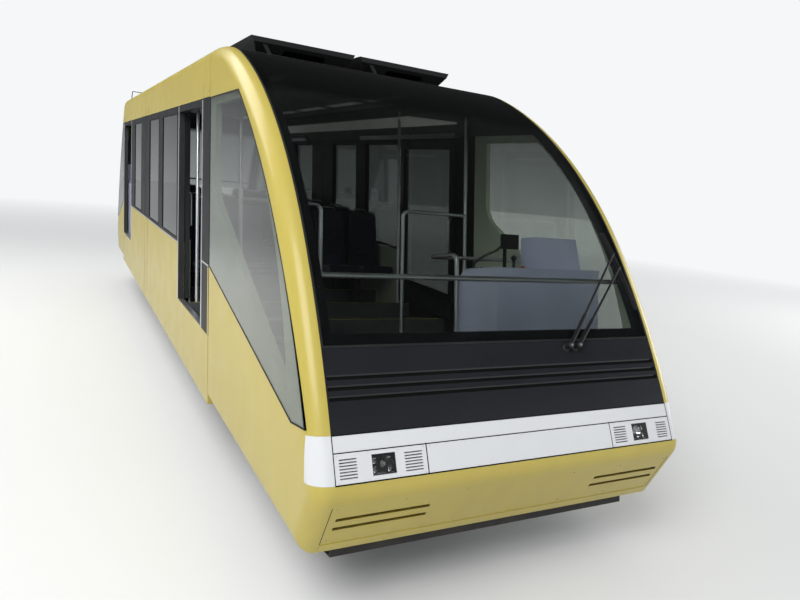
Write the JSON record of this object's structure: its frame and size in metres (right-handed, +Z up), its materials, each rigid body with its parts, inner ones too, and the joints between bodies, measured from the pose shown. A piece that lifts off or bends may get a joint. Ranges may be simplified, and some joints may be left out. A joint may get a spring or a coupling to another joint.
{
  "type": "funicular railway car",
  "caption": "Yellow and black funicular car with a stepped cabin on a sloping underframe, rounded glazed noses, sliding doors and rail wheels.",
  "frame": {"origin": "on the rail line, midway between the axles and midway between the rails", "axes": "+X to the car's right as seen from the lower end, +Y level in the uphill direction, +Z up; the track rises 11.06 degrees along +Y"},
  "size_m": [2.7, 11.094, 5.0918],
  "materials": {
    "yellow_paint": "gloss yellow enamel",
    "white_paint": "gloss white enamel",
    "black_paint": "gloss black enamel",
    "roof_paint": "satin dark grey",
    "hood_paint": "satin dark grey",
    "frame_paint": "satin dark grey chassis paint",
    "lining": "moulded grey-green lining",
    "screen_glass": "laminated tinted glass",
    "side_glass": "toughened tinted glass",
    "rubber": "matt black rubber",
    "floor": "ribbed grey rubber flooring on steel",
    "wheel_steel": "machined steel, rusty brown on the flanks",
    "cast": "painted cast housing",
    "steel": "brushed stainless tube",
    "aluminium": "extruded and anodised",
    "fabric": "dark blue-black woven cloth",
    "lamp_glass": "clear lamp lens over a reflector",
    "console_paint": "lilac-grey moulding",
    "ceiling_paint": "matt light grey"
  },
  "bodies": {
    "car": {"axle_boxes": "cast", "bumpers": "frame_paint", "ceiling_panel": "ceiling_paint", "cross_members": "frame_paint", "door_tracks": "aluminium", "driver_consoles": "console_paint", "driver_monitors": "rubber", "floor_deck": "floor", "handrails": "steel", "headlamps": "lamp_glass", "joint_seals": "rubber", "lamp_band_lower": "white_paint", "lamp_band_upper": "white_paint", "nose_apron_lower": "black_paint", "nose_apron_upper": "black_paint", "nose_brows": "roof_paint", "nose_side_frames_lower": "lining", "nose_side_frames_upper": "lining", "nose_side_glass_lower": "side_glass", "nose_side_glass_upper": "side_glass", "nose_sides_lower": "yellow_paint", "nose_sides_upper": "yellow_paint", "nose_skirt_lower": "yellow_paint", "nose_skirt_upper": "yellow_paint", "rail_brakes": "frame_paint", "roof_crown": "roof_paint", "roof_edges": "yellow_paint", "roof_hoods": "hood_paint", "rope_anchor": "frame_paint", "seat_backs": "fabric", "seat_cushions": "fabric", "seat_frames": "frame_paint", "side_frame_left": "black_paint", "side_frame_right": "black_paint", "side_linings": "lining", "springs": "rubber", "tread_brackets": "frame_paint", "underframe": "frame_paint", "waist_panels_left": "yellow_paint", "waist_panels_right": "yellow_paint", "window_glass_left": "side_glass", "window_glass_right": "side_glass", "windscreen_frame_lower": "black_paint", "windscreen_frame_upper": "black_paint", "windscreen_lower": "screen_glass", "windscreen_upper": "screen_glass", "wipers": "black_paint"},
    "wheelset_lower": {"wheelset_lower": "wheel_steel"},
    "wheelset_upper": {"wheelset_upper": "wheel_steel"},
    "door_left_lower": {"door_left_lower": "black_paint", "door_glass_left_lower": "side_glass"},
    "door_left_upper": {"door_left_upper": "black_paint", "door_glass_left_upper": "side_glass"},
    "door_right_lower": {"door_right_lower": "black_paint", "door_glass_right_lower": "side_glass"},
    "door_right_upper": {"door_right_upper": "black_paint", "door_glass_right_upper": "side_glass"}
  },
  "joints": [
    {"name": "wheelset_lower_turns", "type": "hinge", "parent": "car", "child": "wheelset_lower", "pos_m": [0, -2.86714, -0.20381], "axis": [1, 0, 0], "continuous": true},
    {"name": "wheelset_upper_turns", "type": "hinge", "parent": "car", "child": "wheelset_upper", "pos_m": [0, 2.73286, 0.89081], "axis": [1, 0, 0], "continuous": true},
    {"name": "door_left_lower_slides", "type": "slide", "parent": "car", "child": "door_left_lower", "axis": [0, 0.9814, 0.1918], "range_m": [-1.18195, 0]},
    {"name": "door_right_lower_slides", "type": "slide", "parent": "car", "child": "door_right_lower", "axis": [0, 0.9814, 0.1918], "range_m": [0, 1.18195]},
    {"name": "door_left_upper_slides", "type": "slide", "parent": "car", "child": "door_left_upper", "axis": [0, 0.9814, 0.1918], "range_m": [0, 1.18195]},
    {"name": "door_right_upper_slides", "type": "slide", "parent": "car", "child": "door_right_upper", "axis": [0, 0.9814, 0.1918], "range_m": [-1.18195, 0]}
  ]
}
